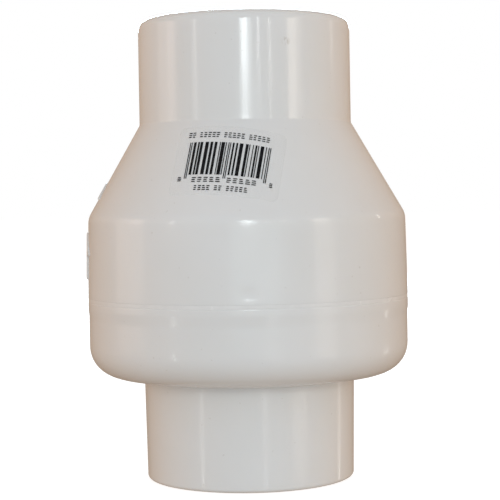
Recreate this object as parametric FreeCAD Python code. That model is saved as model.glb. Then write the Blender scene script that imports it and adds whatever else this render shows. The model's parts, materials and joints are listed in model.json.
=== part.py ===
import FreeCAD, Part
import math
import os

# Swing check valve with two solvent-weld pipe sockets. Millimetres, +Z up along the flow,
# origin at the centre of the inlet rim, on which the valve stands. The flapper's hinge is
# on the +Y side, and the flow arrow and the label are on the outside of the casing.

Vector = FreeCAD.Vector
UP = Vector(0, 0, 1)
OUT_X = Vector(1, 0, 0)
OUT_Y = Vector(0, 1, 0)
ORIGIN = Vector(0, 0, 0)

# ---- pipe and sockets
pipe_r = 30.16
socket_gap = 0.09
socket_depth = 29.5
socket_chamfer = 1.0
waterway_r = 26.25
socket_corner_round = 0.4

# ---- hubs
inlet_mouth_wall = 4.45
inlet_root_wall = 5.0
outlet_root_wall = 5.15
outlet_mouth_wall = 5.09
inlet_stop_length = 4.4
outlet_stop_length = 5.25
inlet_rim_round = 1.3
outlet_rim_round = 3.2
inlet_root_round = 0.7
outlet_root_round = 1.6

# ---- cup and barrel
underside_slope = 6.0
cup_floor_wall = 6.1
cup_corner_round = 10.0
cup_inner_round = 3.0
spigot_wall = 3.1
skirt_wall = 2.82
cement_gap = 0.1
spigot_height = 11.0
spigot_round = 0.6
seam_rise = 20.2
lip_height = 4.8
lip_step = 0.25
lip_blend = 1.6
lip_round = 0.8
skirt_edge_round = 0.1
seam_rebate = 0.9
seam_bead_recess = 0.05
seam_bead_round = 0.1
barrel_wall = 4.6
barrel_draft = 0.55
shoulder_round = 6.7
cone_angle = 30.0
stop_land = 2.0
stop_step = 0.5
gate_mark_r = 2.1
gate_mark_depth = 0.13
gate_mark_rise = 2.3

# ---- seat ring
flange_thickness = 4.0
flange_chamfer = 3.2
flange_gap = 0.3
seat_height = 2.0
seat_inner_step = 0.9
seat_land = 1.4
seat_foot = 1.0
register_depth = 2.2
register_wall = 2.35
register_gap = 0.2
o_ring_wall = 1.8
o_ring_width = 3.1
o_ring_height = 2.0
o_ring_side_gap = 0.1
o_ring_round = 0.85

# ---- snap ring
snap_ring_thickness = 1.9
snap_ring_gap = 0.2
snap_ring_bite = 1.3
snap_ring_width = 3.3
snap_ring_opening = 16.0
snap_lug_r = 3.2
snap_lug_hole_r = 1.1
snap_lug_root = 1.0

# ---- hinge
hinge_pin_r = 2.5
pin_hole_gap = 0.02
bush_running_gap = 0.05
bush_wall = 0.95
bush_flange_r = 4.6
bush_flange_thickness = 1.0
knuckle_r = 5.0
knuckle_width = 14.0
knuckle_gap = 2.0
neck_gap = 0.5
ear_side_gap = 0.3
ear_thickness = 4.0
ear_foot = 2.6
clip_thickness = 0.8
clip_gap = 0.1
clip_bite = 0.6
clip_r = 4.4
clip_mouth = 3.0
pin_end = 1.5
pin_chamfer = 0.4

# ---- open stop, a heel behind the knuckle that lands flat on the seat ring
open_angle = 75.0
heel_gap = 0.1
heel_length = 5.0
heel_root_inset = 0.5

# ---- flapper
seal_overhang = 1.9
seal_gap = 0.05
seal_thickness = 3.0
disc_thickness = 5.0
disc_dish = 1.5
disc_rim_width = 2.8
disc_boss_r = 10.5
disc_edge_round = 0.6
retainer_gap = 2.25
retainer_thickness = 2.5
retainer_chamfer = 0.8
arm_thickness = 4.0
arm_boss_r = 9.0
arm_neck_length = 7.0
arm_crown_angle = 37.0
arm_crest = 2.0

# ---- flapper bolt and its hardware
bolt_r = 3.0
bolt_flats = 10.0
bolt_head_height = 4.0
bolt_end = 1.0
bolt_chamfer = 0.5
sealing_washer_thickness = 1.0
washer_r = 6.4
washer_thickness = 1.2
lock_washer_r = 5.2
lock_washer_thickness = 1.5
lock_washer_split = 0.8
nut_height = 5.0
hex_bevel = 0.6

# ---- swing room above the hinge
swing_headroom = 6.1

# ---- flow arrow and cone mark
relief_height = 0.55
relief_root = 1.0
mark_azimuth = 184.0
arrow_rise = 7.0
arrow_length = 16.0
arrow_head_length = 8.0
arrow_head_width = 17.0
arrow_shaft_width = 7.0
cone_mark_rise = 5.4
cone_mark_length = 6.4
cone_mark_width = 14.0
cone_mark_notch = 2.4

# ---- label
label_width = 35.0
label_low_margin = 8.0
label_high_margin = 2.4
label_round = 2.0
label_thickness = 0.1
label_azimuth = 262.3
label_tilt = -5.5

# ---- sizes that follow
socket_r = pipe_r + socket_gap
inlet_hub_length = socket_depth + inlet_stop_length
outlet_hub_length = socket_depth + outlet_stop_length
floor_z = inlet_hub_length + cup_floor_wall
flange_z = floor_z + flange_thickness
seat_z = flange_z + seat_height
seal_z = seat_z + seal_gap
disc_z = seal_z + seal_thickness
arm_z = disc_z + disc_thickness
arm_top_z = arm_z + arm_thickness
seat_crest_r = waterway_r + seat_inner_step + seat_land
disc_r = seat_crest_r + seal_overhang + seal_gap
retainer_r = waterway_r - retainer_gap
hinge_y = disc_r + neck_gap + knuckle_r
hinge_z = flange_z + knuckle_gap + knuckle_r
hinge_axis = Vector(0, hinge_y, hinge_z)
ear_inner_x = knuckle_width / 2 + bush_flange_thickness + ear_side_gap
ear_outer_x = ear_inner_x + ear_thickness
ear_back_y = hinge_y + knuckle_r + ear_foot
clip_x = ear_outer_x + clip_gap / 2
snap_inner_r = math.hypot(ear_outer_x, ear_back_y) + flange_gap
cup_r = snap_inner_r + snap_ring_width - snap_ring_bite
flange_r = cup_r - flange_gap
spigot_r = cup_r + spigot_wall
skirt_r = spigot_r + cement_gap
seam_z = floor_z + seam_rise
barrel_r = skirt_r + skirt_wall
chamber_r = barrel_r - barrel_wall
shoulder_z = hinge_z + disc_r + swing_headroom
shoulder_r = barrel_r - barrel_draft
inlet_root_r = socket_r + inlet_root_wall
outlet_root_r = socket_r + outlet_root_wall
cone_slope = math.tan(math.radians(cone_angle))
cone_top_z = shoulder_z + (shoulder_r - outlet_root_r) / cone_slope
total_length = cone_top_z + outlet_hub_length
outlet_stop_z = total_length - socket_depth
cone_wall = barrel_wall / math.cos(math.radians(cone_angle))


def rounded_outline(corners, place):
    """Closed wire through corners (a, b, round), each corner rounded by a tangent arc."""
    edges = []
    first = None
    last = None
    count = len(corners)
    for index in range(count):
        here = Vector(*corners[index][:2], 0)
        before = (Vector(*corners[index - 1][:2], 0) - here).normalize()
        after = (Vector(*corners[(index + 1) % count][:2], 0) - here).normalize()
        start = here
        end = here
        arc = None
        if corners[index][2] > 0:
            half = before.getAngle(after) / 2
            start = here + before * (corners[index][2] / math.tan(half))
            end = here + after * (corners[index][2] / math.tan(half))
            inward = (before + after).normalize()
            centre = here + inward * (corners[index][2] / math.sin(half))
            middle = centre - inward * corners[index][2]
            arc = Part.Arc(place(start), place(middle), place(end)).toShape()
        if last is None:
            first = start
        elif (start - last).Length > 1e-6:
            edges.append(Part.makeLine(place(last), place(start)))
        if arc is not None:
            edges.append(arc)
        last = end
    if (first - last).Length > 1e-6:
        edges.append(Part.makeLine(place(last), place(first)))
    return Part.Face(Part.Wire(edges))


def turned(corners):
    """Solid of revolution about Z from an outline of (radius, height, round)."""
    face = rounded_outline(corners, lambda point: Vector(point.x, 0, point.y))
    return face.revolve(ORIGIN, UP, 360)


def plate_x(corners, x_low, x_high):
    """Plate with an outline of (y, z, round), from x_low to x_high."""
    face = rounded_outline(corners, lambda point: Vector(x_low, point.x, point.y))
    return face.extrude(OUT_X * (x_high - x_low))


def plate_z(corners, z_low, z_high):
    """Plate with an outline of (x, y, round), from z_low to z_high."""
    face = rounded_outline(corners, lambda point: Vector(point.x, point.y, z_low))
    return face.extrude(UP * (z_high - z_low))


def rod_x(radius, x_low, x_high):
    """Round bar on the hinge axis."""
    return Part.makeCylinder(radius, x_high - x_low, Vector(x_low, hinge_y, hinge_z), OUT_X)


def disc_of(radius, z_low, z_high, hole, edge=0.0):
    """Flat round piece on the valve's axis with a hole, its outer edges chamfered by edge."""
    corners = [(hole, z_low, 0), (radius - edge, z_low, 0)]
    if edge > 0:
        corners += [(radius, z_low + edge, 0), (radius, z_high - edge, 0)]
    corners += [(radius - edge, z_high, 0), (hole, z_high, 0)]
    return turned(corners)


def hexagon(flats, z_low, z_high):
    """Hexagonal prism on the valve's axis with its top and bottom corners turned off."""
    corner_r = flats / 2 / math.cos(math.radians(30))
    corners = []
    for index in range(6):
        angle = math.radians(60 * index)
        corners.append((corner_r * math.cos(angle), corner_r * math.sin(angle), 0))
    blank = turned([(0, z_low, 0), (flats / 2, z_low, 0), (corner_r, z_low + hex_bevel, 0),
                    (corner_r, z_high - hex_bevel, 0), (flats / 2, z_high, 0), (0, z_high, 0)])
    return plate_z(corners, z_low, z_high).common(blank)


def barrel_radius_at(z):
    """Outer radius of the drafted barrel above the seam."""
    share = (z - seam_z) / (shoulder_z - seam_z)
    return barrel_r - barrel_draft * share


def cone_radius_at(z):
    """Outer radius of the cone."""
    return shoulder_r - (z - shoulder_z) * cone_slope


def make_inlet_casing():
    """Lower socket, sloping underside and cup, with the spigot that enters the other casing."""
    cup_skin_r = barrel_r - lip_step
    corner_z = inlet_hub_length + (cup_skin_r - inlet_root_r) * math.tan(math.radians(underside_slope))
    groove_r = cup_r + snap_ring_bite + flange_gap
    groove_top = flange_z + snap_ring_thickness + snap_ring_gap
    register_r = waterway_r + register_wall + register_gap
    return turned([
        (socket_r + socket_chamfer, 0, 0),
        (socket_r + inlet_mouth_wall, 0, inlet_rim_round),
        (inlet_root_r, inlet_hub_length, inlet_root_round),
        (cup_skin_r, corner_z, cup_corner_round),
        (cup_skin_r, seam_z - lip_height, 0),
        (barrel_r, seam_z - lip_height + lip_blend, 0),
        (barrel_r, seam_z, lip_round),
        (spigot_r, seam_z, 0),
        (spigot_r, seam_z + spigot_height, spigot_round),
        (cup_r, seam_z + spigot_height, spigot_round),
        (cup_r, groove_top, 0),
        (groove_r, groove_top, 0),
        (groove_r, flange_z, 0),
        (cup_r, flange_z, 0),
        (cup_r, floor_z, cup_inner_round),
        (register_r, floor_z, 0),
        (register_r, floor_z - register_depth, 0),
        (waterway_r, floor_z - register_depth, 0),
        (waterway_r, socket_depth, 0),
        (socket_r, socket_depth, socket_corner_round),
        (socket_r, socket_chamfer, 0),
    ])


def relief(outline, radius_at, z_low, z_high):
    """Raised moulded mark: a plan of (across, z) corners lifted off a turned surface."""
    skin = turned([
        (radius_at(z_low) - relief_root, z_low, 0),
        (radius_at(z_low) + relief_height, z_low, 0),
        (radius_at(z_high) + relief_height, z_high, 0),
        (radius_at(z_high) - relief_root, z_high, 0),
    ])
    stamp = plate_x([(across, height, 0) for across, height in outline], 0, barrel_r * 2)
    stamp.rotate(ORIGIN, UP, mark_azimuth)
    return skin.common(stamp)


def make_flow_arrow():
    """Arrow on the barrel that points along the flow."""
    low = seam_z + arrow_rise
    neck = low + arrow_length - arrow_head_length
    top = low + arrow_length
    outline = [
        (-arrow_shaft_width / 2, low), (arrow_shaft_width / 2, low), (arrow_shaft_width / 2, neck),
        (arrow_head_width / 2, neck), (0, top), (-arrow_head_width / 2, neck),
        (-arrow_shaft_width / 2, neck),
    ]
    return relief(outline, barrel_radius_at, low - relief_root, top + relief_root)


def make_cone_mark():
    """Chevron on the cone, above the arrow."""
    low = shoulder_z + cone_mark_rise
    top = low + cone_mark_length
    outline = [
        (-cone_mark_width / 2, low), (0, low + cone_mark_notch), (cone_mark_width / 2, low),
        (0, top),
    ]
    return relief(outline, cone_radius_at, low - relief_root, top + relief_root)


def make_outlet_casing():
    """Barrel, cone and upper socket, with the skirt that takes the other casing's spigot."""
    skirt_top = seam_z + spigot_height + cement_gap * 2
    inner_shoulder_z = shoulder_z - barrel_wall * math.tan(math.radians(cone_angle / 2))
    inner_throat_z = shoulder_z + (shoulder_r - cone_wall - waterway_r - stop_step) / cone_slope
    inner_cone_z = min(outlet_stop_z - stop_land * 2, inner_throat_z)
    inner_cone_r = cone_radius_at(inner_cone_z) - cone_wall
    body = turned([
        (skirt_r, seam_z, 0),
        (barrel_r - seam_rebate, seam_z, 0),
        (barrel_r - seam_rebate, seam_z + seam_rebate, 0),
        (barrel_r, seam_z + seam_rebate, skirt_edge_round),
        (shoulder_r, shoulder_z, shoulder_round),
        (outlet_root_r, cone_top_z, outlet_root_round),
        (socket_r + outlet_mouth_wall, total_length, outlet_rim_round),
        (socket_r + socket_chamfer, total_length, 0),
        (socket_r, total_length - socket_chamfer, 0),
        (socket_r, outlet_stop_z, socket_corner_round),
        (waterway_r, outlet_stop_z, 0),
        (waterway_r, inner_cone_z + stop_land, 0),
        (inner_cone_r, inner_cone_z, 0),
        (chamber_r - barrel_draft, inner_shoulder_z, shoulder_round - barrel_wall / 2),
        (chamber_r, skirt_top, 0),
        (skirt_r, skirt_top, 0),
    ])
    ball_r = (gate_mark_r ** 2 + gate_mark_depth ** 2) / (2 * gate_mark_depth)
    gate_z = seam_z + gate_mark_rise
    gate_centre = Vector(0, -(barrel_radius_at(gate_z) + ball_r - gate_mark_depth), gate_z)
    body = body.cut(Part.makeSphere(ball_r, gate_centre))
    body = body.fuse([make_flow_arrow(), make_cone_mark()])
    return body.removeSplitter()


def make_seam_cement_bead():
    """Bead of solvent cement in the rebate at the foot of the skirt."""
    face_r = barrel_r - seam_bead_recess
    return turned([
        (barrel_r - seam_rebate, seam_z, 0),
        (face_r, seam_z, seam_bead_round),
        (face_r, seam_z + seam_rebate, seam_bead_round),
        (barrel_r - seam_rebate, seam_z + seam_rebate, 0),
    ])


def make_ear(side):
    """Hinge ear, a plate with a round top that holds one end of the pin."""
    low_x = min(side * ear_inner_x, side * ear_outer_x)
    front_y = seat_crest_r + seat_foot + neck_gap
    post = plate_x([
        (front_y, floor_z + flange_thickness / 2, 0),
        (ear_back_y, floor_z + flange_thickness / 2, 0),
        (ear_back_y, flange_z, 0),
        (hinge_y + knuckle_r, hinge_z, 0),
        (hinge_y - knuckle_r, hinge_z, 0),
        (front_y, flange_z, 0),
    ], low_x, low_x + ear_thickness)
    return post.fuse(rod_x(knuckle_r, low_x, low_x + ear_thickness))


def make_seat_ring():
    """Ring with the raised seat, a groove for its static seal and the two hinge ears."""
    groove_r = waterway_r + register_wall + o_ring_wall
    groove_width = o_ring_width + 2 * o_ring_side_gap
    ring = turned([
        (waterway_r, floor_z - register_depth + register_gap, 0),
        (waterway_r + register_wall, floor_z - register_depth + register_gap, 0),
        (waterway_r + register_wall, floor_z, 0),
        (groove_r, floor_z, 0),
        (groove_r, floor_z + o_ring_height, 0),
        (groove_r + groove_width, floor_z + o_ring_height, 0),
        (groove_r + groove_width, floor_z, 0),
        (flange_r - flange_chamfer, floor_z, 0),
        (flange_r, floor_z + flange_chamfer, 0),
        (flange_r, flange_z, 0),
        (seat_crest_r + seat_foot, flange_z, 0),
        (seat_crest_r, seat_z, 0),
        (seat_crest_r - seat_land, seat_z, 0),
        (waterway_r, seat_z - seat_inner_step, 0),
    ])
    ring = ring.fuse([make_ear(-1), make_ear(1)])
    ring = ring.cut(rod_x(hinge_pin_r + pin_hole_gap, -ear_outer_x, ear_outer_x))
    return ring.removeSplitter()


def make_seat_o_ring():
    """O-ring pressed flat between the seat ring and the floor of the cup."""
    low_r = waterway_r + register_wall + o_ring_wall + o_ring_side_gap
    high_r = low_r + o_ring_width
    return turned([
        (low_r, floor_z, o_ring_round), (high_r, floor_z, o_ring_round),
        (high_r, floor_z + o_ring_height, o_ring_round),
        (low_r, floor_z + o_ring_height, o_ring_round),
    ])


def make_seat_snap_ring():
    """Open retaining ring in the cup's groove, with a plier eye at each end."""
    outer_r = cup_r + snap_ring_bite
    low = flange_z
    high = flange_z + snap_ring_thickness
    ring = disc_of(outer_r, low, high, snap_inner_r)
    gap = plate_z([
        (-snap_ring_opening / 2, -outer_r - snap_ring_width, 0),
        (snap_ring_opening / 2, -outer_r - snap_ring_width, 0),
        (snap_ring_opening / 2, 0, 0), (-snap_ring_opening / 2, 0, 0),
    ], low, high)
    ring = ring.cut(gap)
    for side in (-1, 1):
        eye_x = side * (snap_ring_opening / 2 + snap_lug_r)
        eye_y = -math.sqrt((snap_inner_r - snap_lug_root) ** 2 - eye_x ** 2)
        eye_foot = Vector(eye_x, eye_y, low)
        ring = ring.fuse(Part.makeCylinder(snap_lug_r, snap_ring_thickness, eye_foot))
        ring = ring.cut(Part.makeCylinder(snap_lug_hole_r, snap_ring_thickness, eye_foot))
    return ring.removeSplitter()


def make_hinge_pin():
    """Stainless pin with a groove for a clip near each end."""
    groove_width = clip_thickness + clip_gap
    end_x = clip_x + groove_width + pin_end
    half = [(0, 0), (hinge_pin_r, 0), (hinge_pin_r, clip_x), (hinge_pin_r - clip_bite, clip_x),
            (hinge_pin_r - clip_bite, clip_x + groove_width), (hinge_pin_r, clip_x + groove_width),
            (hinge_pin_r, end_x - pin_chamfer), (hinge_pin_r - pin_chamfer, end_x), (0, end_x)]
    halves = []
    for side in (-1, 1):
        points = [Vector(side * along, hinge_y + radius, hinge_z) for radius, along in half]
        face = Part.Face(Part.makePolygon(points + points[:1]))
        halves.append(face.revolve(hinge_axis, OUT_X, 360))
    return halves[0].fuse(halves[1]).removeSplitter()


def make_pin_clip(side):
    """C-shaped clip in a groove of the pin, open upwards."""
    near = side * (clip_x + clip_gap / 2)
    far = near + side * clip_thickness
    low_x = min(near, far)
    clip = rod_x(clip_r, low_x, low_x + clip_thickness)
    clip = clip.cut(rod_x(hinge_pin_r - clip_bite, low_x, low_x + clip_thickness))
    mouth = plate_x([
        (hinge_y - clip_mouth / 2, hinge_z, 0), (hinge_y + clip_mouth / 2, hinge_z, 0),
        (hinge_y + clip_mouth / 2, hinge_z + clip_r + clip_bite, 0),
        (hinge_y - clip_mouth / 2, hinge_z + clip_r + clip_bite, 0),
    ], low_x, low_x + clip_thickness)
    return clip.cut(mouth)


def make_arm_bush(side):
    """Flanged bush, one from each side of the arm's knuckle."""
    bore_r = hinge_pin_r + bush_running_gap
    face_x = knuckle_width / 2
    sleeve_low = min(0.0, side * face_x)
    flange_low = min(side * face_x, side * (face_x + bush_flange_thickness))
    bush = rod_x(bore_r + bush_wall, sleeve_low, sleeve_low + face_x)
    bush = bush.fuse(rod_x(bush_flange_r, flange_low, flange_low + bush_flange_thickness))
    bore = rod_x(bore_r, -face_x - bush_flange_thickness, face_x + bush_flange_thickness)
    return bush.cut(bore).removeSplitter()


def make_heel():
    """Wedge behind the knuckle: its end face turns down onto the seat ring at full opening."""
    lean = math.radians(open_angle)
    reach = hinge_z - flange_z - heel_gap
    end_low = Vector(reach * math.sin(lean), -reach * math.cos(lean), 0)
    end_high = end_low + Vector(math.cos(lean), math.sin(lean), 0) * heel_length
    return plate_x([
        (hinge_y, hinge_z - knuckle_r + heel_root_inset, 0),
        (hinge_y + end_low.x, hinge_z + end_low.y, 0),
        (hinge_y + end_high.x, hinge_z + end_high.y, 0),
        (hinge_y, hinge_z + knuckle_r - heel_root_inset, 0),
    ], -knuckle_width / 2, knuckle_width / 2)


def make_hinge_arm():
    """Hanger: a boss over the disc, a tapering plate, the knuckle on the pin and its heel."""
    half = knuckle_width / 2
    neck_y = disc_r + neck_gap
    arm_root_y = neck_y - arm_neck_length
    crown = math.radians(arm_crown_angle)
    taper = plate_z([
        (-arm_boss_r, 0, 0), (arm_boss_r, 0, 0), (half, arm_root_y, 0), (half, neck_y, 0),
        (-half, neck_y, 0), (-half, arm_root_y, 0),
    ], arm_z, arm_top_z)
    neck = plate_x([
        (arm_root_y, arm_z, 0), (neck_y, arm_z, 0), (neck_y, hinge_z, 0), (hinge_y, hinge_z, 0),
        (hinge_y + knuckle_r * math.cos(crown), hinge_z + knuckle_r * math.sin(crown), 0),
        (hinge_y - arm_crest, arm_top_z, 0), (arm_root_y, arm_top_z, 0),
    ], -half, half)
    boss = Part.makeCylinder(arm_boss_r, arm_thickness, Vector(0, 0, arm_z))
    arm = boss.fuse([taper, neck, rod_x(knuckle_r, -half, half), make_heel()])
    arm = arm.cut(rod_x(hinge_pin_r + bush_running_gap + bush_wall, -half, half))
    arm = arm.cut(Part.makeCylinder(bolt_r, arm_thickness, Vector(0, 0, arm_z)))
    return arm.removeSplitter()


def make_flapper_disc():
    """Disc with a raised rim and centre boss on its upper side."""
    return turned([
        (bolt_r, disc_z, 0), (disc_r, disc_z, 0), (disc_r, arm_z, disc_edge_round),
        (disc_r - disc_rim_width, arm_z, 0),
        (disc_r - disc_rim_width - disc_dish, arm_z - disc_dish, disc_edge_round),
        (disc_boss_r + disc_dish, arm_z - disc_dish, disc_edge_round),
        (disc_boss_r, arm_z, 0), (bolt_r, arm_z, 0),
    ])


def make_lock_washer():
    """Split spring washer, closed flat."""
    low = arm_top_z + washer_thickness
    high = low + lock_washer_thickness
    washer = disc_of(lock_washer_r, low, high, bolt_r)
    split = plate_z([
        (0, -lock_washer_split / 2, 0),
        (lock_washer_r + lock_washer_split, -lock_washer_split / 2, 0),
        (lock_washer_r + lock_washer_split, lock_washer_split / 2, 0),
        (0, lock_washer_split / 2, 0),
    ], low, high)
    return washer.cut(split)


def make_flapper_nut():
    """Hexagon nut on the upper end of the bolt."""
    low = arm_top_z + washer_thickness + lock_washer_thickness
    nut = hexagon(bolt_flats, low, low + nut_height)
    return nut.cut(Part.makeCylinder(bolt_r, nut_height, Vector(0, 0, low)))


def make_flapper_bolt():
    """Hexagon bolt, head down in the waterway."""
    head_top = seal_z - retainer_thickness - sealing_washer_thickness
    top = arm_top_z + washer_thickness + lock_washer_thickness + nut_height + bolt_end
    shank = turned([
        (0, head_top - bolt_chamfer, 0), (bolt_r, head_top - bolt_chamfer, 0),
        (bolt_r, top - bolt_chamfer, 0), (bolt_r - bolt_chamfer, top, 0), (0, top, 0),
    ])
    head = hexagon(bolt_flats, head_top - bolt_head_height, head_top)
    return head.fuse(shank).removeSplitter()


def make_label_film():
    """Clear label that follows the cone, turned a little out of square."""
    tilt = math.radians(cone_angle)
    cone_length = (cone_top_z - shoulder_z) / math.cos(tilt)
    label_height = cone_length - label_low_margin - label_high_margin
    centre_z = shoulder_z + (label_low_margin + label_height / 2) * math.cos(tilt)
    reach = cone_top_z - centre_z - label_thickness
    low = centre_z - reach
    high = centre_z + reach
    lift = label_thickness / math.cos(tilt)
    skin = turned([
        (cone_radius_at(low), low, 0), (cone_radius_at(low) + lift, low, 0),
        (cone_radius_at(high) + lift, high, 0), (cone_radius_at(high), high, 0),
    ])
    sheet = plate_x([
        (-label_width / 2, -label_height / 2, label_round),
        (label_width / 2, -label_height / 2, label_round),
        (label_width / 2, label_height / 2, label_round),
        (-label_width / 2, label_height / 2, label_round),
    ], -label_width / 2, label_width / 2)
    sheet.rotate(ORIGIN, OUT_X, label_tilt)
    sheet.rotate(ORIGIN, OUT_Y, -cone_angle)
    sheet.translate(Vector(cone_radius_at(centre_z), 0, centre_z))
    sheet.rotate(ORIGIN, UP, label_azimuth)
    return skin.common(sheet)


def save(name, shape):
    """Write one piece as STEP."""
    shape.exportStep(os.path.join("parts", name + ".step"))


def main():
    os.makedirs("parts", exist_ok=True)
    save("inlet_casing", make_inlet_casing())
    save("outlet_casing", make_outlet_casing())
    save("seam_cement_bead", make_seam_cement_bead())
    save("label_film", make_label_film())
    save("seat_ring", make_seat_ring())
    save("seat_o_ring", make_seat_o_ring())
    save("seat_snap_ring", make_seat_snap_ring())
    save("hinge_pin", make_hinge_pin())
    for side, word in ((-1, "left"), (1, "right")):
        save("pin_clip_" + word, make_pin_clip(side))
        save("arm_bush_" + word, make_arm_bush(side))
    save("hinge_arm", make_hinge_arm())
    save("flapper_disc", make_flapper_disc())
    save("flapper_seal", disc_of(disc_r, seal_z, disc_z, bolt_r))
    retainer_z = seal_z - retainer_thickness
    save("seal_retainer", disc_of(retainer_r, retainer_z, seal_z, bolt_r, retainer_chamfer))
    sealing_z = retainer_z - sealing_washer_thickness
    save("bolt_seal_washer", disc_of(washer_r, sealing_z, retainer_z, bolt_r))
    save("flapper_bolt", make_flapper_bolt())
    save("flat_washer", disc_of(washer_r, arm_top_z, arm_top_z + washer_thickness, bolt_r))
    save("lock_washer", make_lock_washer())
    save("flapper_nut", make_flapper_nut())
    print("total length", round(total_length, 2), "barrel radius", round(barrel_r, 2))
    print("hinge", round(hinge_y, 2), round(hinge_z, 2), "cup radius", round(cup_r, 2))
    print("seam", round(seam_z, 2), "shoulder", round(shoulder_z, 2), round(shoulder_r, 2),
          "cone top", round(cone_top_z, 2))


main()
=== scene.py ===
import json
import math
import random
import bmesh
import bpy
from mathutils import Matrix, Vector


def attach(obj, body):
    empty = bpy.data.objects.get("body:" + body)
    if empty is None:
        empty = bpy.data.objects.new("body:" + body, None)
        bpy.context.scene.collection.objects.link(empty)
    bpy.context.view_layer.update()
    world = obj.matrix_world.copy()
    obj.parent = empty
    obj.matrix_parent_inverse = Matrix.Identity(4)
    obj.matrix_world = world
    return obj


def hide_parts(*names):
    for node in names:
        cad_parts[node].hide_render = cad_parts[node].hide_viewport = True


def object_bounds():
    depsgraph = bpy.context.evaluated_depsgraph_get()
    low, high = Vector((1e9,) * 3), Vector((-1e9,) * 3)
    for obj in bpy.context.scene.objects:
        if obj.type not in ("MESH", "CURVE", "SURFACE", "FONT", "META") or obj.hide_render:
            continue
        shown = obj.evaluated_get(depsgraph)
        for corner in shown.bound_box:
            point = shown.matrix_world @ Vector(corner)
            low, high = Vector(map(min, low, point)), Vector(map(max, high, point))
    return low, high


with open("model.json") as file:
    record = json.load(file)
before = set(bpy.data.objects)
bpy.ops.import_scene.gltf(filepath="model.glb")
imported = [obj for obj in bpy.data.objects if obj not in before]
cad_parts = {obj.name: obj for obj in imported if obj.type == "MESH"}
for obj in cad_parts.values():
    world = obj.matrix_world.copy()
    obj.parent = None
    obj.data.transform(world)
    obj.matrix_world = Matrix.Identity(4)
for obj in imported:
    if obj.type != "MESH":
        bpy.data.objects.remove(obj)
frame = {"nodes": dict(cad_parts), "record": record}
cad_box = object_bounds()

# ---- one millimetre in metres, the frame's nodes, and the body that every new piece rides on
MM = 0.001
NODES = frame["nodes"]
CASING = "casing"

# ---- camera, chosen for the viewing angle
CAMERA_PLACE = Vector((0.0009, -0.5206, 0.0950))
CAMERA_LENS = 111.3
CAMERA_PITCH_DOWN = 2.10
CAMERA_ROLL = -0.97

# ---- soft room: colours from front to back, and shares of them from below to above
ROOM_STRENGTH = 1.53
ROOM_AROUND = [
    (0.0, (0.709, 0.770, 0.821)), (0.5, (0.83, 0.60, 0.42)), (0.75, (0.76, 0.47, 0.27)),
    (1.0, (0.47, 0.35, 0.26)),
]
ROOM_HEIGHT = [
    (0.0, (0.28, 0.28, 0.28)), (0.42, (0.45, 0.45, 0.45)), (0.58, (0.667, 0.667, 0.667)),
    (1.0, (0.36, 0.46, 0.60)),
]

# ---- lights: azimuth, distance, height, width, length, power, colour
LIGHTS = [
    ("key", 0.4, 1.2, 0.32, 0.14, 0.28, 0.95, (0.90, 0.98, 1.0)),
    ("key_edge", 2.0, 1.2, 0.32, 0.26, 0.28, 0.68, (0.88, 0.98, 1.0)),
    ("glow", 6, 1.2, 0.07, 0.75, 0.25, 0.42, (0.72, 0.97, 1.0)),
    ("strip_left", -53, 1.2, 0.30, 0.018, 0.30, 0.19, (1.0, 0.99, 0.97)),
    ("strip_near_right", 15, 1.2, 0.33, 0.014, 0.24, 0.17, (0.97, 0.99, 1.0)),
    ("strip_right", 27, 1.2, 0.30, 0.013, 0.28, 0.14, (1.0, 1.0, 0.96)),
    ("strip_far_right", 108, 1.2, 0.36, 0.030, 0.24, 0.10, (1.0, 0.93, 0.85)),
    ("low_left", -53, 1.2, -0.20, 0.028, 0.20, 0.10, (1.0, 0.98, 0.95)),
    ("low_right", 16, 1.2, -0.20, 0.024, 0.20, 0.08, (1.0, 0.99, 0.97)),
    ("low_far_right", 114, 1.2, -0.20, 0.050, 0.20, 0.10, (1.0, 0.97, 0.92)),
    ("soft_left", -84, 1.2, 0.32, 0.24, 0.34, 0.26, (1.0, 0.80, 0.72)),
    ("soft_left_wide", -90, 1.2, 0.22, 0.60, 0.60, 0.85, (1.0, 0.80, 0.70)),
    ("soft_right", 55, 1.2, 0.12, 0.34, 0.8, 0.80, (1.0, 0.88, 0.76)),
    ("back", 180, 1.2, 0.40, 0.60, 0.24, 10.0, (0.64, 0.85, 1.0)),
    ("soft_right_high", 52, 1.2, 0.32, 0.22, 0.30, 0.45, (1.0, 0.90, 0.78)),
]

# ---- point that every light faces
LIGHT_AIM = Vector((0, 0, 0.09))

# ---- floor: half its width, and how far it lies below the rim
FLOOR_HALF = 6.0
FLOOR_DROP = 0.0002

# ---- small scuff on the upper hub: place in metres and reach
SCUFF_PLACE = (0.0132, -0.0328, 0.1426)
SCUFF_REACH = 0.0017

# ---- casing outlines, in millimetres as in the CAD model
SOCKET_R = 30.25
SOCKET_DEPTH = 29.5
SOCKET_CHAMFER = 1.0
WATERWAY_R = 26.25
SOCKET_CORNER_ROUND = 0.4
INLET_MOUTH_R = 34.7
INLET_RIM_ROUND = 1.3
INLET_ROOT_R = 35.25
INLET_ROOT_ROUND = 0.7
OUTLET_MOUTH_R = 35.34
OUTLET_RIM_ROUND = 3.2
OUTLET_ROOT_R = 35.4
OUTLET_ROOT_ROUND = 1.6
UNDERSIDE_Z = 33.9
UNDERSIDE_SLOPE = 6.0
CUP_ROUND = 10.0
FLOOR_Z = 40.0
FLOOR_ROUND = 3.0
REGISTER_R = 28.8
REGISTER_DEPTH = 2.2
FLANGE_Z = 44.0
GROOVE_HEIGHT = 2.1
GROOVE_DEPTH = 1.6
CUP_R = 47.6
SPIGOT_R = 50.7
SPIGOT_HEIGHT = 11.0
SPIGOT_ROUND = 0.6
BARREL_R = 53.62
CHAMBER_R = 49.02
SEAM_Z = 60.2
LIP_FOOT = 4.8
LIP_TOP = 3.2
LIP_STEP = 0.25
LIP_ROUND = 0.8
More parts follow.
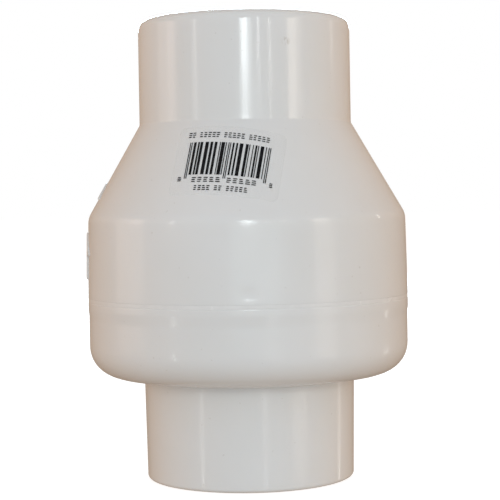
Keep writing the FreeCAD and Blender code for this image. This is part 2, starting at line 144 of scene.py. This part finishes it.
SKIRT_R = 50.8
SKIRT_TOP_Z = 71.4
SKIRT_EDGE_ROUND = 0.06
REBATE = 0.9
SHOULDER_R = 53.07
SHOULDER_Z = 87.6
SHOULDER_ROUND = 6.7
CHAMBER_TOP_R = 48.47
CHAMBER_TOP_Z = 86.37
CHAMBER_TOP_ROUND = 4.4
CONE_WALL = 5.31
CONE_TOP_Z = 118.2
CONE_HALF_ANGLE = math.radians(30)
CONE_SLOPE = math.tan(CONE_HALF_ANGLE)
TOP_Z = (cad_box[1][2] - cad_box[0][2]) / MM
OUTLET_STOP_Z = TOP_Z - SOCKET_DEPTH
STOP_LAND = 2.0

# ---- cement bead: how far it lies below the barrel, and how far it laps the lip
BEAD_LAP = 0.42
BEAD_FOOT_RECESS = 0.08
BEAD_RECESS = 0.04
BEAD_TOP_RECESS = 0.012
BEAD_ROUND = 0.3
BEAD_BACK = 0.95
# unevenness round the seam: (height of the wave, waves in a turn)
BEAD_SWELL, BEAD_SWELLS = 0.006, 9
BEAD_RIPPLE, BEAD_RIPPLES = 0.004, 23

# ---- fineness of the turned surfaces: columns, degrees of arc, millimetres of run
COLUMNS = 320
ARC_STEP = 9.0
INLET_RUN = 2.0
OUTLET_RUN = 1.6
BEAD_RUN = 0.4

# ---- size of a patch's innermost ring, as a share of its outline
PATCH_MIDDLE = 0.02

# ---- gate mark above the seam
GATE_AZIMUTH = -90.0
GATE_R = 3.0
GATE_DEPTH = 0.21
GATE_STRETCH = 1.7
GATE_Z = SEAM_Z + 3.8
GATE_SKIN = 1.5
GATE_COLUMNS = 24
GATE_COLUMN_STEP = 0.25

# ---- raised marks on the left side
MARK_AZIMUTH = 184.0
MARK_HEIGHT = 0.55
MARK_SINK = 0.4
MARK_RUN = 0.8
# soft edge: (share of the outline's width, share of the height)
MARK_EDGE = [(1.0, 0.2), (0.985, 0.6), (0.955, 0.9), (0.92, 1.0)]
ARROW_Z = SEAM_Z + 16.0
CHEVRON_Z = SHOULDER_Z + 8.6

# ---- label: azimuth and tilt in degrees, sizes on the flat label
LABEL_AZIMUTH = -97.7
LABEL_TILT = 5.5
LABEL_Z = 105.25
LABEL_HALF_WIDTH = 17.5
LABEL_HALF_HEIGHT = 12.4
LABEL_ROUND = 2.0
LABEL_THICKNESS = 0.1
LABEL_GAP = 0.01
LABEL_RINGS = 14
LABEL_RUN = 0.9
INK_THICKNESS = 0.02
INK_GAP = 0.005
INK_RUN_ACROSS = 1.0
INK_RUN_UP = 1.5
# bars, counted in modules from the left: single long ones, and the stretches between them
BAR_MODULE = 0.274
BAR_MODULES = 95
LONG_BARS = (0, 2, 46, 48, 92, 94)
BAR_STRETCHES = ((5, 44), (51, 90))
BAR_TOP = 6.5
BAR_FOOT = -5.2
GUARD_FOOT = -6.5
DASH_STROKE = 0.34
DASH_SHARES = (0.5, 0.75)
GROUP_GAP = 0.8
# rows of dash stacks: middle height, left end, stacks in each group, height, pitch
DASH_ROWS = [
    (9.2, -13.9, (2, 5, 5, 5), 1.8, 1.36), (-7.0, -10.3, (5, 5), 1.7, 1.95),
    (-6.6, -15.1, (1,), 1.5, 1.6), (-6.9, 14.2, (1,), 1.5, 1.6),
    (-9.9, -9.1, (4, 2, 5), 1.7, 1.37),
]


# ------------------------------------------------------------------ node helpers
class Graph:
    """Short way to write a material's node tree."""

    def __init__(self, name):
        self.material = bpy.data.materials.new(name)
        self.material.use_nodes = True
        self.tree = self.material.node_tree
        self.tree.nodes.clear()
        self.output = self.tree.nodes.new("ShaderNodeOutputMaterial")
        self.shader = self.tree.nodes.new("ShaderNodeBsdfPrincipled")
        self.link(self.shader.outputs["BSDF"], self.output.inputs["Surface"])
        self.place = self.tree.nodes.new("ShaderNodeTexCoord").outputs["Object"]

    def link(self, a, b):
        self.tree.links.new(a, b)

    def set(self, **values):
        for key, value in values.items():
            self.shader.inputs[key.replace("_", " ")].default_value = value

    def noise(self, scale, detail=3.0, roughness=0.55, stretch=(1, 1, 1), distortion=0.0):
        mapping = self.tree.nodes.new("ShaderNodeMapping")
        mapping.inputs["Scale"].default_value = stretch
        self.link(self.place, mapping.inputs["Vector"])
        node = self.tree.nodes.new("ShaderNodeTexNoise")
        node.inputs["Scale"].default_value = scale
        node.inputs["Detail"].default_value = detail
        node.inputs["Roughness"].default_value = roughness
        node.inputs["Distortion"].default_value = distortion
        self.link(mapping.outputs["Vector"], node.inputs["Vector"])
        return node.outputs["Fac"]

    def remap(self, value, low, high, to_low, to_high):
        node = self.tree.nodes.new("ShaderNodeMapRange")
        node.inputs["From Min"].default_value = low
        node.inputs["From Max"].default_value = high
        node.inputs["To Min"].default_value = to_low
        node.inputs["To Max"].default_value = to_high
        self.link(value, node.inputs["Value"])
        return node.outputs["Result"]

    def ramp(self, value, stops):
        node = self.tree.nodes.new("ShaderNodeValToRGB")
        elements = node.color_ramp.elements
        while len(elements) < len(stops):
            elements.new(0.5)
        for element, (position, colour) in zip(elements, stops):
            element.position = position
            element.color = (*colour, 1)
        self.link(value, node.inputs["Fac"])
        return node.outputs["Color"]

    def mix(self, factor, a, b):
        node = self.tree.nodes.new("ShaderNodeMix")
        node.data_type = "RGBA"
        self.link(factor, node.inputs["Factor"])
        for socket, value in (("A", a), ("B", b)):
            target = [i for i in node.inputs if i.name == socket and i.type == "RGBA"][0]
            if isinstance(value, tuple):
                target.default_value = (*value, 1)
            else:
                self.link(value, target)
        return [o for o in node.outputs if o.type == "RGBA"][0]

    def math(self, operation, a, b):
        node = self.tree.nodes.new("ShaderNodeMath")
        node.operation = operation
        for index, value in enumerate((a, b)):
            if isinstance(value, (int, float)):
                node.inputs[index].default_value = value
            else:
                self.link(value, node.inputs[index])
        return node.outputs[0]

    def bump(self, height, strength, distance):
        node = self.tree.nodes.new("ShaderNodeBump")
        node.inputs["Strength"].default_value = strength
        node.inputs["Distance"].default_value = distance
        self.link(height, node.inputs["Height"])
        self.link(node.outputs["Normal"], self.shader.inputs["Normal"])

    def colour(self, value):
        self.link(value, self.shader.inputs["Base Color"])

    def rough(self, value):
        self.link(value, self.shader.inputs["Roughness"])


# ------------------------------------------------------------------ materials
def casing_pvc():
    """Gloss white PVC: cloudy tint, fine specks, smudged gloss, faint ripple and one scuff."""
    g = Graph("casing_pvc")
    tint = g.ramp(g.noise(22, 4), [(0.3, (0.775, 0.775, 0.765)), (0.7, (0.81, 0.81, 0.805))])
    speck = g.remap(g.noise(750, 1), 0.755, 0.80, 0.0, 0.25)
    near = g.tree.nodes.new("ShaderNodeVectorMath")
    near.operation = "DISTANCE"
    near.inputs[1].default_value = SCUFF_PLACE
    g.link(g.place, near.inputs[0])
    spot = g.remap(near.outputs["Value"], SCUFF_REACH * 0.4, SCUFF_REACH, 1.0, 0.0)
    broken = g.remap(g.noise(1100, 3, 0.6, (1, 1, 0.35)), 0.46, 0.58, 0.0, 0.55)
    scuff = g.math("MULTIPLY", spot, broken)
    g.colour(g.mix(g.math("MAXIMUM", speck, scuff), tint, (0.50, 0.46, 0.41)))
    smudge = g.remap(g.noise(30, 4, 0.6, (1, 1, 0.5), 0.6), 0.42, 0.70, 0.0, 0.12)
    g.rough(g.math("ADD", smudge, 0.10))
    ripple = g.math("ADD", g.noise(26, 1), g.math("MULTIPLY", g.noise(1400, 1), 0.010))
    g.bump(ripple, 0.06, 0.0012)
    g.set(IOR=1.53, Subsurface_Weight=0.10, Subsurface_Scale=0.0015)
    g.shader.inputs["Subsurface Radius"].default_value = (1.0, 0.85, 0.7)
    return g.material


def inner_pvc():
    """Satin moulded PVC of the inner pieces."""
    g = Graph("inner_pvc")
    g.colour(g.ramp(g.noise(60, 3), [(0.3, (0.74, 0.74, 0.72)), (0.7, (0.81, 0.81, 0.79))]))
    g.rough(g.remap(g.noise(140, 3), 0.3, 0.7, 0.38, 0.52))
    g.bump(g.noise(900, 3), 0.12, 0.0003)
    g.set(IOR=1.53)
    return g.material


def cement():
    """Dried solvent cement, uneven and glossy; its colour is painted a little lighter than the
    casing's white, painted light that lifts the shade in the seam.
    """
    g = Graph("cement")
    # painted light: the cement is made lighter than the casing to cancel the shade that falls on
    # the seam band
    g.colour(g.ramp(g.noise(240, 3), [(0.3, (0.80, 0.80, 0.795)), (0.7, (0.84, 0.84, 0.835))]))
    g.rough(g.remap(g.noise(300, 2), 0.3, 0.7, 0.16, 0.28))
    g.bump(g.noise(420, 2), 0.04, 0.0003)
    g.set(IOR=1.5)
    return g.material


def acetal():
    """Natural acetal of the bushes."""
    g = Graph("acetal")
    g.colour(g.ramp(g.noise(300, 2), [(0.3, (0.78, 0.76, 0.69)), (0.7, (0.84, 0.82, 0.76))]))
    g.rough(g.remap(g.noise(500, 2), 0.3, 0.7, 0.3, 0.42))
    return g.material


def epdm():
    """Black moulded rubber with a dusty bloom."""
    g = Graph("epdm")
    g.colour(g.ramp(g.noise(90, 4), [(0.35, (0.012, 0.012, 0.013)), (0.75, (0.035, 0.035, 0.034))]))
    g.rough(g.remap(g.noise(400, 3), 0.3, 0.7, 0.5, 0.72))
    g.bump(g.noise(1600, 3), 0.25, 0.0002)
    return g.material


def stainless():
    """Turned stainless steel with fine tool lines."""
    g = Graph("stainless")
    g.colour(g.ramp(g.noise(80, 3), [(0.3, (0.50, 0.49, 0.47)), (0.7, (0.62, 0.61, 0.59))]))
    lines = g.noise(700, 2, 0.6, (1, 1, 6))
    g.rough(g.remap(lines, 0.3, 0.7, 0.22, 0.40))
    g.bump(lines, 0.10, 0.0002)
    g.set(Metallic=1.0)
    return g.material


def label_clear():
    """Clear film: almost all of what is under it shows, with a gloss of its own."""
    g = Graph("label_clear")
    g.colour(g.ramp(g.noise(60, 3), [(0.3, (0.80, 0.80, 0.795)), (0.7, (0.83, 0.83, 0.83))]))
    g.rough(g.remap(g.noise(80, 4, 0.6, (1, 1, 1), 1.0), 0.35, 0.7, 0.16, 0.26))
    g.bump(g.noise(55, 2), 0.06, 0.0008)
    g.set(Alpha=0.025, IOR=1.46)
    return g.material


def ink():
    """Black thermal print, a little worn."""
    g = Graph("ink")
    worn = [(0.45, (0.002, 0.002, 0.003)), (0.85, (0.025, 0.025, 0.027))]
    g.colour(g.ramp(g.noise(700, 3), worn))
    g.rough(g.remap(g.noise(200, 2), 0.3, 0.7, 0.5, 0.65))
    g.shader.inputs["Specular IOR Level"].default_value = 0.15
    return g.material


def floor_white():
    """Plain pale floor."""
    g = Graph("floor_white")
    g.colour(g.ramp(g.noise(3, 2), [(0.3, (0.46, 0.46, 0.46)), (0.7, (0.48, 0.48, 0.48))]))
    g.set(Roughness=1.0, Emission_Strength=0.80)
    g.shader.inputs["Emission Color"].default_value = (1, 1, 1, 1)
    g.shader.inputs["Specular IOR Level"].default_value = 0.0
    return g.material


def dress_cad_nodes():
    """Gives every CAD node its material, by the record's slots."""
    makers = {
        "casing_pvc": casing_pvc, "inner_pvc": inner_pvc, "cement": cement, "acetal": acetal,
        "epdm": epdm, "stainless": stainless, "label_film": label_clear,
    }
    made = {slot: maker() for slot, maker in makers.items()}
    for part in frame["record"]["subparts"]:
        node = NODES[part["node"]]
        node.data.materials.clear()
        node.data.materials.append(made[part["material_slot"]])
    return made


# ------------------------------------------------------------------ mesh helpers
def add_mesh(name, vertices, faces, material, sharp=35.0):
    """Piece from millimetre vertices, smooth but for edges sharper than the given angle."""
    mesh = bpy.data.meshes.new(name)
    mesh.from_pydata([tuple(c * MM for c in v) for v in vertices], [], faces)
    mesh.validate()
    mesh.update()
    mesh.shade_smooth()
    mesh.set_sharp_from_angle(angle=math.radians(sharp))
    mesh.materials.append(material)
    piece = bpy.data.objects.new(name, mesh)
    bpy.context.scene.collection.objects.link(piece)
    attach(piece, CASING)
    return piece


def rounded(corners, step):
    """Closed outline through corners (a, b, round) with arcs, straight runs cut to the step."""
    points = []
    count = len(corners)
    for index, (a, b, radius) in enumerate(corners):
        here = Vector((a, b))
        if radius <= 0:
            points.append(here)
            continue
        before = (Vector(corners[index - 1][:2]) - here).normalized()
        after = (Vector(corners[(index + 1) % count][:2]) - here).normalized()
        half = before.angle(after) / 2
        centre = here + (before + after).normalized() * (radius / math.sin(half))
        start = here + before * (radius / math.tan(half)) - centre
        turn = math.pi - 2 * half
        if before.x * after.y - before.y * after.x > 0:
            turn = -turn
        pieces = max(2, math.ceil(math.degrees(abs(turn)) / ARC_STEP))
        for k in range(pieces + 1):
            points.append(centre + Matrix.Rotation(turn * k / pieces, 2) @ start)
    fine = []
    for index, point in enumerate(points):
        run = points[(index + 1) % len(points)] - point
        pieces = max(1, math.ceil(run.length / step))
        fine += [point + run * (k / pieces) for k in range(pieces)]
    return fine


def column_angles():
    """Even columns, with close ones added where the gate mark is."""
    angles = {round(360.0 * k / COLUMNS, 4) for k in range(COLUMNS)}
    near_gate = range(-GATE_COLUMNS, GATE_COLUMNS + 1)
    angles |= {round(GATE_AZIMUTH % 360 + GATE_COLUMN_STEP * k, 4) for k in near_gate}
    return [math.radians(angle) for angle in sorted(angles)]


def turned(name, corners, material, step, shift=None):
    """Closed turned piece about Z. shift(radius, height, angle) returns a changed radius."""
    outline = rounded(corners, step)
    angles = column_angles()
    rows = len(outline)
    vertices = []
    for angle in angles:
        for point in outline:
            radius = shift(point.x, point.y, angle) if shift else point.x
            vertices.append((radius * math.cos(angle), radius * math.sin(angle), point.y))
    faces = []
    for column in range(len(angles)):
        nearby = (column + 1) % len(angles)
        for row in range(rows):
            above = (row + 1) % rows
            faces.append((column * rows + row, nearby * rows + row,
                          nearby * rows + above, column * rows + above))
    return add_mesh(name, vertices, faces, material)


def patch(name, outline, place, rings, material):
    """Closed patch in rings from an outline to its middle. rings holds (scale, lift) pairs from the
    underside's middle, round the edge, to the top's middle. place(u, v, lift) gives the point."""
    count = len(outline)
    vertices = []
    for scale, lift in rings:
        vertices += [place(u * scale, v * scale, lift) for u, v in outline]
    faces = []
    for ring in range(len(rings) - 1):
        for k in range(count):
            nearby = (k + 1) % count
            faces.append((ring * count + k, ring * count + nearby,
                          (ring + 1) * count + nearby, (ring + 1) * count + k))
    faces.append(tuple(range(count))[::-1])
    last = (len(rings) - 1) * count
    faces.append(tuple(last + k for k in range(count)))
    return add_mesh(name, vertices, faces, material)


# ------------------------------------------------------------------ casings
def cone_radius(z):
    """Outer radius of the cone."""
    return SHOULDER_R - (z - SHOULDER_Z) * CONE_SLOPE


def barrel_radius(z):
    """Outer radius of the drafted barrel."""
    return BARREL_R - (BARREL_R - SHOULDER_R) * (z - SEAM_Z) / (SHOULDER_Z - SEAM_Z)


def gate_mark(radius, z, angle):
    """Shallow oval dimple where the moulding gate was."""
    if radius < BARREL_R - GATE_SKIN:
        return radius
    across = BARREL_R * (angle - math.radians(GATE_AZIMUTH % 360)) / GATE_STRETCH
    distance = math.hypot(across, z - GATE_Z)
    if distance >= GATE_R:
        return radius
    return radius - GATE_DEPTH * (0.5 + 0.5 * math.cos(math.pi * distance / GATE_R))


def make_inlet_shell(material):
    """Lower socket, underside and cup with the spigot."""
    corner_z = UNDERSIDE_Z + (BARREL_R - INLET_ROOT_R) * math.tan(math.radians(UNDERSIDE_SLOPE))
    body_r = BARREL_R - LIP_STEP
    groove_r = CUP_R + GROOVE_DEPTH
    groove_top = FLANGE_Z + GROOVE_HEIGHT
    spigot_top = SEAM_Z + SPIGOT_HEIGHT
    shell = turned("inlet_shell", [
        (SOCKET_R + SOCKET_CHAMFER, 0, 0), (INLET_MOUTH_R, 0, INLET_RIM_ROUND),
        (INLET_ROOT_R, UNDERSIDE_Z, INLET_ROOT_ROUND), (body_r, corner_z, CUP_ROUND),
        (body_r, SEAM_Z - LIP_FOOT, 0), (BARREL_R, SEAM_Z - LIP_TOP, 0),
        (BARREL_R, SEAM_Z, LIP_ROUND), (SPIGOT_R, SEAM_Z, 0),
        (SPIGOT_R, spigot_top, SPIGOT_ROUND), (CUP_R, spigot_top, SPIGOT_ROUND),
        (CUP_R, groove_top, 0), (groove_r, groove_top, 0), (groove_r, FLANGE_Z, 0),
        (CUP_R, FLANGE_Z, 0), (CUP_R, FLOOR_Z, FLOOR_ROUND), (REGISTER_R, FLOOR_Z, 0),
        (REGISTER_R, FLOOR_Z - REGISTER_DEPTH, 0), (WATERWAY_R, FLOOR_Z - REGISTER_DEPTH, 0),
        (WATERWAY_R, SOCKET_DEPTH, 0), (SOCKET_R, SOCKET_DEPTH, SOCKET_CORNER_ROUND),
        (SOCKET_R, SOCKET_CHAMFER, 0),
    ], material, INLET_RUN)
    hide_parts("inlet_casing")


def make_outlet_shell(material):
    """Skirt, barrel, cone and upper socket."""
    throat_z = OUTLET_STOP_Z - STOP_LAND
    inner_cone_z = throat_z - STOP_LAND
    shell = turned("outlet_shell", [
        (SKIRT_R, SEAM_Z, 0), (BARREL_R - REBATE, SEAM_Z, 0),
        (BARREL_R - REBATE, SEAM_Z + REBATE, 0),
        (BARREL_R, SEAM_Z + REBATE, SKIRT_EDGE_ROUND), (SHOULDER_R, SHOULDER_Z, SHOULDER_ROUND),
        (OUTLET_ROOT_R, CONE_TOP_Z, OUTLET_ROOT_ROUND), (OUTLET_MOUTH_R, TOP_Z, OUTLET_RIM_ROUND),
        (SOCKET_R + SOCKET_CHAMFER, TOP_Z, 0), (SOCKET_R, TOP_Z - SOCKET_CHAMFER, 0),
        (SOCKET_R, OUTLET_STOP_Z, SOCKET_CORNER_ROUND), (WATERWAY_R, OUTLET_STOP_Z, 0),
        (WATERWAY_R, throat_z, 0), (cone_radius(inner_cone_z) - CONE_WALL, inner_cone_z, 0),
        (CHAMBER_TOP_R, CHAMBER_TOP_Z, CHAMBER_TOP_ROUND), (CHAMBER_R, SKIRT_TOP_Z, 0),
        (SKIRT_R, SKIRT_TOP_Z, 0),
    ], material, OUTLET_RUN, gate_mark)
    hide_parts("outlet_casing")


def make_seam_bead(material):
    """Cement that bridges the lip and the skirt, a little uneven round the seam."""
    def uneven(radius, z, angle):
        if radius < BARREL_R - BEAD_BACK / 2:
            return radius
        swell = BEAD_SWELL * math.sin(BEAD_SWELLS * angle)
        return radius + swell + BEAD_RIPPLE * math.sin(BEAD_RIPPLES * angle + z)

    low = SEAM_Z - BEAD_LAP
    high = SEAM_Z + REBATE
    bead = turned("seam_bead", [
        (BARREL_R - BEAD_BACK, low, 0), (BARREL_R - BEAD_FOOT_RECESS, low, 0),
        (BARREL_R - BEAD_RECESS, SEAM_Z, BEAD_ROUND), (BARREL_R - BEAD_TOP_RECESS, high, 0),
        (BARREL_R - BEAD_BACK, high, 0),
    ], material, BEAD_RUN, uneven)
    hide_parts("seam_cement_bead")


# ------------------------------------------------------------------ raised marks
def make_mark(name, corners, middle_z, radius_at, material):
    """Moulded mark with soft edges, its outline given in (across, up) from its middle."""
    def place(u, v, lift):
        z = middle_z + v
        radius = radius_at(z) + lift
        angle = math.radians(MARK_AZIMUTH) + u / radius_at(middle_z)
        return radius * math.cos(angle), radius * math.sin(angle), z

    outline = [(p.x, p.y) for p in rounded(corners, MARK_RUN)]
    rings = [(scale, -MARK_SINK) for scale in (PATCH_MIDDLE, 0.5, 1.0)]
    rings += [(scale, MARK_HEIGHT * share) for scale, share in MARK_EDGE]
    rings += [(scale, MARK_HEIGHT) for scale in (0.6, 0.3, PATCH_MIDDLE)]
    mark = patch(name, outline, place, rings, material)


def make_marks(material):
    """Flow arrow on the barrel and chevron on the cone."""
    make_mark("flow_arrow", [
        (-3.5, -9.0, 0.6), (3.5, -9.0, 0.6), (3.5, -1.0, 0.5), (8.5, -1.0, 0.6),
        (0, 7.0, 0.8), (-8.5, -1.0, 0.6), (-3.5, -1.0, 0.5),
    ], ARROW_Z, barrel_radius, material)
    make_mark("cone_chevron", [
        (-7.0, -3.2, 0.5), (0, -0.8, 0.5), (7.0, -3.2, 0.5), (0, 3.2, 0.6),
    ], CHEVRON_Z, cone_radius, material)


# ------------------------------------------------------------------ label
def on_cone(u, v, lift):
    """Point of the flat label (u across, v up, millimetres) wrapped on the cone."""
    tilt = math.radians(LABEL_TILT)
    across = u * math.cos(tilt) + v * math.sin(tilt)
    up = v * math.cos(tilt) - u * math.sin(tilt)
    share = math.sin(CONE_HALF_ANGLE)
    slant = cone_radius(LABEL_Z) / share
    reach = math.hypot(across, slant - up)
    angle = math.radians(LABEL_AZIMUTH) + math.atan2(across, slant - up) / share
    radius = reach * share + lift * math.cos(CONE_HALF_ANGLE)
    z = LABEL_Z + (slant - reach) * math.cos(CONE_HALF_ANGLE) + lift * share
    return radius * math.cos(angle), radius * math.sin(angle), z


def make_label_sheet(material):
    """Clear film with rounded corners and thin edges."""
    w, h, r = LABEL_HALF_WIDTH, LABEL_HALF_HEIGHT, LABEL_ROUND
    corners = [(-w, -h, r), (w, -h, r), (w, h, r), (-w, h, r)]
    outline = [(p.x, p.y) for p in rounded(corners, LABEL_RUN)]
    steps = [PATCH_MIDDLE] + [k / LABEL_RINGS for k in range(1, LABEL_RINGS + 1)]
    top = LABEL_THICKNESS
    rings = [(k, LABEL_GAP) for k in steps] + [(1.0, top * 0.7), (0.998, top)]
    rings += [(k, top) for k in reversed(steps[:-1])]
    sheet = patch("label_sheet", outline, on_cone, rings, material)
    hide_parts("label_film")


def strokes_mesh(name, boxes, material):
    """Thin ink rectangles (u0, u1, v0, v1) on the film, each cut along its length to follow it."""
    vertices, faces = [], []
    low, high = LABEL_THICKNESS + INK_GAP, LABEL_THICKNESS + INK_THICKNESS
    for u0, u1, v0, v1 in boxes:
        along_u = max(1, math.ceil((u1 - u0) / INK_RUN_ACROSS))
        along_v = max(1, math.ceil((v1 - v0) / INK_RUN_UP))
        for i in range(along_u):
            for j in range(along_v):
                a, b = u0 + (u1 - u0) * i / along_u, u0 + (u1 - u0) * (i + 1) / along_u
                c, d = v0 + (v1 - v0) * j / along_v, v0 + (v1 - v0) * (j + 1) / along_v
                base = len(vertices)
                for lift in (low, high):
                    vertices += [on_cone(a, c, lift), on_cone(b, c, lift),
                                 on_cone(b, d, lift), on_cone(a, d, lift)]
                faces += [(base + 3, base + 2, base + 1, base),
                          (base + 4, base + 5, base + 6, base + 7)]
                if j == 0:
                    faces.append((base, base + 1, base + 5, base + 4))
                if j == along_v - 1:
                    faces.append((base + 2, base + 3, base + 7, base + 6))
                if i == 0:
                    faces.append((base + 3, base, base + 4, base + 7))
                if i == along_u - 1:
                    faces.append((base + 1, base + 2, base + 6, base + 5))
    mesh = bpy.data.meshes.new(name)
    mesh.from_pydata([tuple(c * MM for c in v) for v in vertices], [], faces)
    work = bmesh.new()
    work.from_mesh(mesh)
    bmesh.ops.remove_doubles(work, verts=work.verts, dist=1e-7)
    work.to_mesh(mesh)
    work.free()
    mesh.materials.append(material)
    piece = bpy.data.objects.new(name, mesh)
    bpy.context.scene.collection.objects.link(piece)
    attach(piece, CASING)


def make_bars(material):
    """Block of upright bars in a made-up order, with longer ones at both ends and the middle."""
    draw = random.Random(41)
    boxes = []
    half = BAR_MODULE * BAR_MODULES / 2
    for module in LONG_BARS:
        left = -half + module * BAR_MODULE
        boxes.append((left, left + BAR_MODULE, GUARD_FOOT, BAR_TOP))
    for start, end in BAR_STRETCHES:
        module = start
        while module < end:
            wide = min(draw.choice((1, 2, 2, 3, 3, 4)), end - module)
            left = -half + module * BAR_MODULE
            boxes.append((left, left + BAR_MODULE * wide, BAR_FOOT, BAR_TOP))
            module += wide + draw.choice((1, 1, 2, 2, 3))
    strokes_mesh("label_bars", boxes, material)


def make_rows(material):
    """Rows of short plain dashes where a label would have its words: no letters."""
    draw = random.Random(17)
    boxes = []
    for middle, left, groups, height, pitch in DASH_ROWS:
        u = left
        for stacks in groups:
            for _ in range(stacks):
                for level in (-0.5, 0.0, 0.5):
                    wide = pitch * draw.uniform(*DASH_SHARES)
                    v = middle + level * (height - DASH_STROKE)
                    boxes.append((u, u + wide, v - DASH_STROKE / 2, v + DASH_STROKE / 2))
                u += pitch
            u += pitch * GROUP_GAP
    strokes_mesh("label_dashes", boxes, material)


# ------------------------------------------------------------------ stage, light, camera
def make_floor():
    """Pale floor that the valve stands on. It sends no light back up on the valve."""
    mesh = bpy.data.meshes.new("floor")
    corners = [(-1, -1), (1, -1), (1, 1), (-1, 1)]
    points = [(x * FLOOR_HALF, y * FLOOR_HALF, 0) for x, y in corners]
    mesh.from_pydata(points, [], [(0, 1, 2, 3)])
    mesh.materials.append(floor_white())
    floor = bpy.data.objects.new("floor", mesh)
    bpy.context.scene.collection.objects.link(floor)
    floor.location.z = cad_box[0][2] - FLOOR_DROP
    floor.visible_diffuse = False
    floor.visible_glossy = False
    floor.visible_transmission = False
    floor.visible_shadow = False


def make_world():
    """White beyond the floor, and a soft room, cool in front and warm behind, dim below."""
    world = bpy.data.worlds.new("studio")
    bpy.context.scene.world = world
    world.use_nodes = True
    tree = world.node_tree
    tree.nodes.clear()
    output = tree.nodes.new("ShaderNodeOutputWorld")
    seen = tree.nodes.new("ShaderNodeBackground")
    seen.inputs["Color"].default_value = (1, 1, 1, 1)
    room = tree.nodes.new("ShaderNodeBackground")
    coordinate = tree.nodes.new("ShaderNodeTexCoord")
    split = tree.nodes.new("ShaderNodeSeparateXYZ")
    tree.links.new(coordinate.outputs["Generated"], split.inputs[0])

    def share_of(axis):
        shift = tree.nodes.new("ShaderNodeMapRange")
        shift.inputs["From Min"].default_value = -1.0
        shift.inputs["From Max"].default_value = 1.0
        tree.links.new(split.outputs[axis], shift.inputs["Value"])
        return shift.outputs["Result"]

    def ramp_of(value, stops):
        ramp = tree.nodes.new("ShaderNodeValToRGB")
        elements = ramp.color_ramp.elements
        while len(elements) < len(stops):
            elements.new(0.5)
        for element, (position, colour) in zip(elements, stops):
            element.position = position
            element.color = (*colour, 1)
        tree.links.new(value, ramp.inputs["Fac"])
        return ramp.outputs["Color"]

    around = ramp_of(share_of("Y"), ROOM_AROUND)
    height = ramp_of(share_of("Z"), ROOM_HEIGHT)
    blend = tree.nodes.new("ShaderNodeMix")
    blend.data_type = "RGBA"
    blend.blend_type = "MULTIPLY"
    blend.inputs["Factor"].default_value = 1.0
    colours = [i for i in blend.inputs if i.type == "RGBA"]
    tree.links.new(around, colours[0])
    tree.links.new(height, colours[1])
    tree.links.new([o for o in blend.outputs if o.type == "RGBA"][0], room.inputs["Color"])
    room.inputs["Strength"].default_value = ROOM_STRENGTH
    path = tree.nodes.new("ShaderNodeLightPath")
    mix = tree.nodes.new("ShaderNodeMixShader")
    tree.links.new(path.outputs["Is Camera Ray"], mix.inputs["Fac"])
    tree.links.new(room.outputs[0], mix.inputs[1])
    tree.links.new(seen.outputs[0], mix.inputs[2])
    tree.links.new(mix.outputs[0], output.inputs["Surface"])


def soft_light(name, azimuth, distance, height, width, tall, power, colour):
    """Upright rectangular light that faces the valve. Azimuth 0 is in front, positive to +X."""
    data = bpy.data.lights.new(name, "AREA")
    data.shape = "RECTANGLE"
    data.size = width
    data.size_y = tall
    data.energy = power
    data.color = colour
    light = bpy.data.objects.new(name, data)
    bpy.context.scene.collection.objects.link(light)
    angle = math.radians(azimuth)
    place = Vector((math.sin(angle) * distance, -math.cos(angle) * distance, height))
    light.location = place
    light.rotation_euler = (LIGHT_AIM - place).to_track_quat("-Z", "Y").to_euler()


def make_lights():
    """Every light of the table."""
    for name, *values in LIGHTS:
        soft_light(name, *values)


def make_camera():
    """Level camera in front, tipped down and rolled a little."""
    data = bpy.data.cameras.new("camera")
    data.lens = CAMERA_LENS
    data.clip_start = 0.01
    camera = bpy.data.objects.new("camera", data)
    bpy.context.scene.collection.objects.link(camera)
    turn = Matrix.Rotation(math.radians(90 - CAMERA_PITCH_DOWN), 4, "X")
    roll = Matrix.Rotation(math.radians(CAMERA_ROLL), 4, "Z")
    camera.matrix_world = Matrix.Translation(CAMERA_PLACE) @ turn @ roll
    bpy.context.scene.camera = camera


def main():
    """Builds the whole scene round the frame."""
    make_camera()
    make_world()
    make_lights()
    make_floor()
    made = dress_cad_nodes()
    make_inlet_shell(made["casing_pvc"])
    make_outlet_shell(made["casing_pvc"])
    make_seam_bead(made["cement"])
    make_marks(made["casing_pvc"])
    make_label_sheet(made["label_film"])
    black = ink()
    make_bars(black)
    make_rows(black)
    bpy.context.scene.view_settings.view_transform = "Standard"


main()
